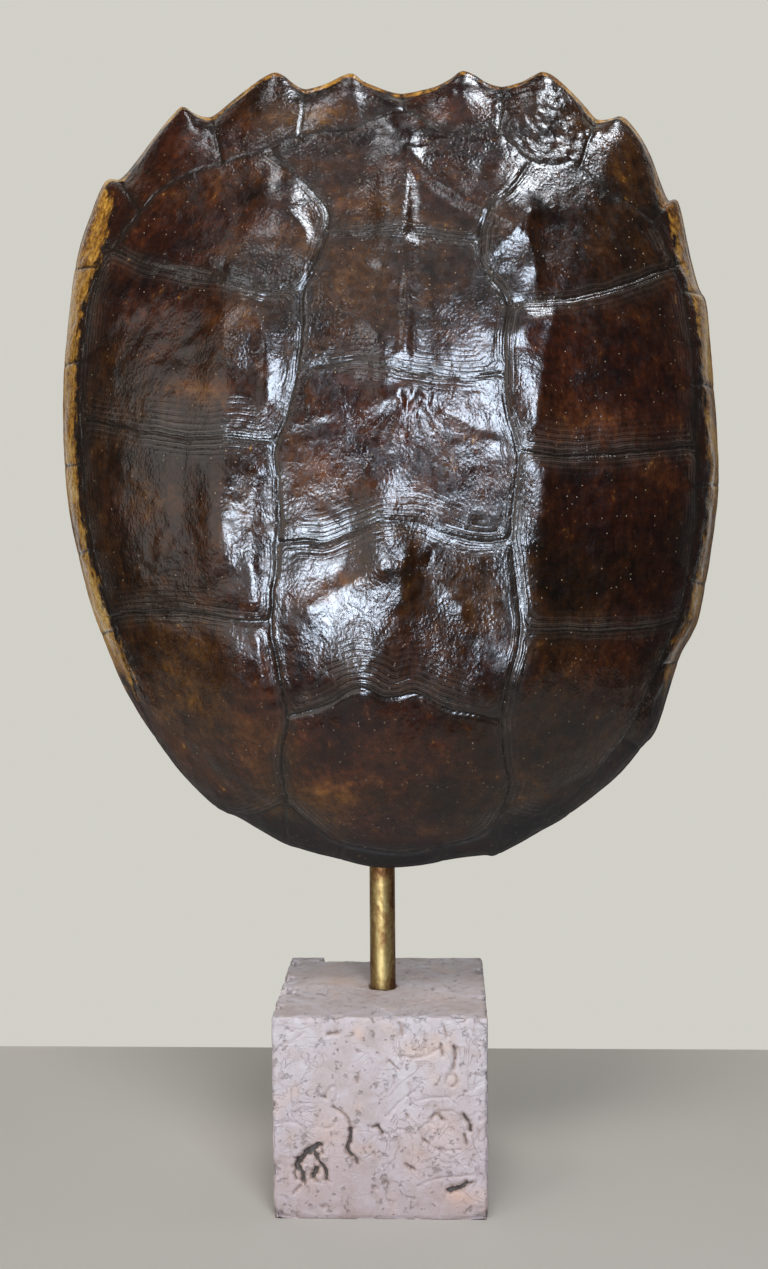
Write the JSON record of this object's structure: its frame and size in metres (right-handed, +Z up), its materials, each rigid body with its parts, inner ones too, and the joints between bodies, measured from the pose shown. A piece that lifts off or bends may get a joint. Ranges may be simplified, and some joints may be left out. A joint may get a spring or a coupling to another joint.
{
  "type": "mounted turtle shell",
  "caption": "Upper shell of a snapping turtle, tail end up, standing on a brass rod in a square travertine block.",
  "frame": {"origin": "middle of the block's flat underside, on the rod's axis", "axes": "+Z up along the rod, -Y the way the shell's outer side faces, +X to the right of someone looking at that side"},
  "size_m": [0.3265, 0.1335, 0.548],
  "materials": {
    "travertine": "matte",
    "aged_brass": "satin",
    "putty": "matte",
    "horn": "gloss"
  },
  "bodies": {
    "root": {"block": "travertine", "rod": "aged_brass", "putty": "putty", "carapace": "horn"}
  },
  "joints": []
}
